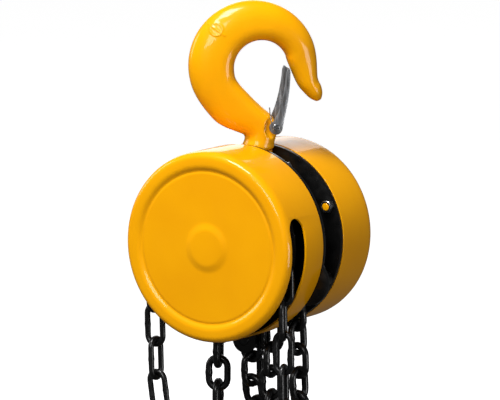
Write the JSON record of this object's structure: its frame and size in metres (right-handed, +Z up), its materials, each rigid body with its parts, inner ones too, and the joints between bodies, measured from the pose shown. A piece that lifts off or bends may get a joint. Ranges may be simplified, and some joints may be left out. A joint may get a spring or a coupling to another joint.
{
  "type": "chain hoist",
  "caption": "Hand chain hoist hung by a latched hook, with a round geared body and a hook block that the load chain carries.",
  "frame": {"origin": "centre of the top hook's bearing seat, where the hoist hangs", "axes": "+Z up, -Y out of the hand-wheel cover along the main shaft, +X to the right seen from that cover"},
  "size_m": [0.1449, 0.125, 0.5623],
  "materials": {
    "yellow_paint": "gloss yellow-orange enamel",
    "black_steel": "satin black",
    "black_chain": "blackened, slightly oily",
    "bright_steel": "machined",
    "zinc_plate": "zinc-plated",
    "friction_lining": "matt lining"
  },
  "bodies": {
    "top_hook": {"top_hook": "yellow_paint", "top_hook_nut": "bright_steel", "top_latch_pin": "zinc_plate", "top_latch_spring": "zinc_plate"},
    "top_latch": {"top_latch": "zinc_plate"},
    "crosshead": {"top_crosshead": "yellow_paint"},
    "frame": {"wheel_side_plate": "black_steel", "gear_side_plate": "black_steel", "stay_bolt_left": "black_steel", "stay_bolt_right": "black_steel", "stay_bolt_top": "black_steel", "stay_bolt_bottom": "black_steel", "hand_wheel_cover": "yellow_paint", "gear_cover": "yellow_paint", "gear_cover_nut_1": "zinc_plate", "gear_cover_nut_2": "zinc_plate", "gear_cover_nut_3": "zinc_plate", "wheel_cover_nut_1": "zinc_plate", "wheel_cover_nut_2": "zinc_plate", "wheel_cover_nut_3": "zinc_plate", "sheave_bearing_front": "bright_steel", "sheave_bearing_rear": "bright_steel", "gear_support_plate": "black_steel", "support_post_a": "bright_steel", "support_post_b": "bright_steel", "chain_stripper": "black_steel", "dead_end_pin": "black_steel", "anchor_plate_front": "black_steel", "anchor_plate_rear": "black_steel", "slack_end_pin": "black_steel", "pawl_pin_a": "bright_steel", "pawl_pin_b": "bright_steel", "pawl_spring_a": "zinc_plate", "pawl_spring_b": "zinc_plate", "load_chain": "black_chain", "hand_chain": "black_chain", "block_plate_front": "yellow_paint", "block_plate_rear": "yellow_paint", "idler_axle": "bright_steel"},
    "load_sheave": {"load_sheave": "bright_steel", "load_gear": "bright_steel"},
    "disc_gear_a": {"disc_gear_a": "bright_steel"},
    "disc_gear_b": {"disc_gear_b": "bright_steel"},
    "drive_shaft": {"drive_shaft": "bright_steel", "brake_hub": "bright_steel", "friction_disc_inner": "friction_lining", "shaft_nut": "zinc_plate"},
    "ratchet_disc": {"ratchet_disc": "bright_steel"},
    "pawl_a": {"pawl_a": "bright_steel"},
    "pawl_b": {"pawl_b": "bright_steel"},
    "hand_wheel": {"hand_wheel": "bright_steel", "friction_disc_outer": "friction_lining"},
    "idler_sheave": {"idler_sheave": "bright_steel"},
    "block_crosshead": {"block_crosshead": "black_steel"},
    "bottom_hook": {"bottom_hook": "yellow_paint", "bottom_hook_nut": "bright_steel", "bottom_latch_pin": "zinc_plate", "bottom_latch_spring": "zinc_plate"},
    "bottom_latch": {"bottom_latch": "zinc_plate"}
  },
  "joints": [
    {"name": "top_latch_open", "type": "hinge", "parent": "top_hook", "child": "top_latch", "pos_m": [0.00875, 0.00761, -0.0641], "axis": [0.6561, -0.7547, 0], "range_deg": [0, 30], "stiffness_Nm_per_rad": 0.08, "springref_deg": -22.92},
    {"name": "frame_swivel", "type": "hinge", "parent": "top_hook", "child": "crosshead", "pos_m": [0, 0, -0.0933], "axis": [0, 0, 1], "continuous": true},
    {"name": "frame_tilt", "type": "hinge", "parent": "crosshead", "child": "frame", "pos_m": [0, 0, -0.0933], "axis": [0, 1, 0], "range_deg": [-12, 12]},
    {"name": "hand_wheel_spin", "type": "hinge", "parent": "frame", "child": "hand_wheel", "pos_m": [-0.0047, 0, -0.147], "axis": [0, 1, 0], "continuous": true},
    {"name": "drive_shaft_spin", "type": "hinge", "parent": "frame", "child": "drive_shaft", "pos_m": [-0.0047, 0, -0.147], "axis": [0, 1, 0], "continuous": true},
    {"name": "disc_gear_a_spin", "type": "hinge", "parent": "frame", "child": "disc_gear_a", "pos_m": [0.02589, 0, -0.13274], "axis": [0, 1, 0], "continuous": true},
    {"name": "disc_gear_b_spin", "type": "hinge", "parent": "frame", "child": "disc_gear_b", "pos_m": [-0.03529, 0, -0.16126], "axis": [0, 1, 0], "continuous": true},
    {"name": "load_sheave_spin", "type": "hinge", "parent": "frame", "child": "load_sheave", "pos_m": [-0.0047, 0, -0.147], "axis": [0, 1, 0], "continuous": true},
    {"name": "idler_spin", "type": "hinge", "parent": "frame", "child": "idler_sheave", "pos_m": [-0.01031, -0.002, -0.361], "axis": [0, 1, 0], "continuous": true},
    {"name": "ratchet_disc_spin", "type": "hinge", "parent": "frame", "child": "ratchet_disc", "pos_m": [-0.0047, 0, -0.147], "axis": [0, 1, 0], "continuous": true},
    {"name": "pawl_a_lift", "type": "hinge", "parent": "frame", "child": "pawl_a", "pos_m": [0.0169, -0.0258, -0.10638], "axis": [0, -1, 0], "range_deg": [0, 15], "stiffness_Nm_per_rad": 0.02, "springref_deg": -28.65},
    {"name": "pawl_b_lift", "type": "hinge", "parent": "frame", "child": "pawl_b", "pos_m": [-0.0263, -0.0258, -0.18762], "axis": [0, -1, 0], "range_deg": [0, 15], "stiffness_Nm_per_rad": 0.02, "springref_deg": -28.65},
    {"name": "block_hook_tilt", "type": "hinge", "parent": "frame", "child": "block_crosshead", "pos_m": [-0.01031, -0.002, -0.409], "axis": [0, 1, 0], "range_deg": [-12, 12]},
    {"name": "bottom_hook_swivel", "type": "hinge", "parent": "block_crosshead", "child": "bottom_hook", "pos_m": [-0.01031, -0.002, -0.5023], "axis": [0, 0, 1], "continuous": true},
    {"name": "bottom_latch_open", "type": "hinge", "parent": "bottom_hook", "child": "bottom_latch", "pos_m": [0.00129, -0.002, -0.4382], "axis": [0, 1, 0], "range_deg": [0, 30], "stiffness_Nm_per_rad": 0.08, "springref_deg": -22.92}
  ],
  "couplings": [
    {"joint": "drive_shaft_spin", "follows": "hand_wheel_spin", "ratio": 1},
    {"joint": "disc_gear_a_spin", "follows": "hand_wheel_spin", "ratio": -0.25},
    {"joint": "disc_gear_b_spin", "follows": "hand_wheel_spin", "ratio": -0.25},
    {"joint": "load_sheave_spin", "follows": "hand_wheel_spin", "ratio": 0.0625},
    {"joint": "idler_spin", "follows": "hand_wheel_spin", "ratio": 0.039062}
  ]
}
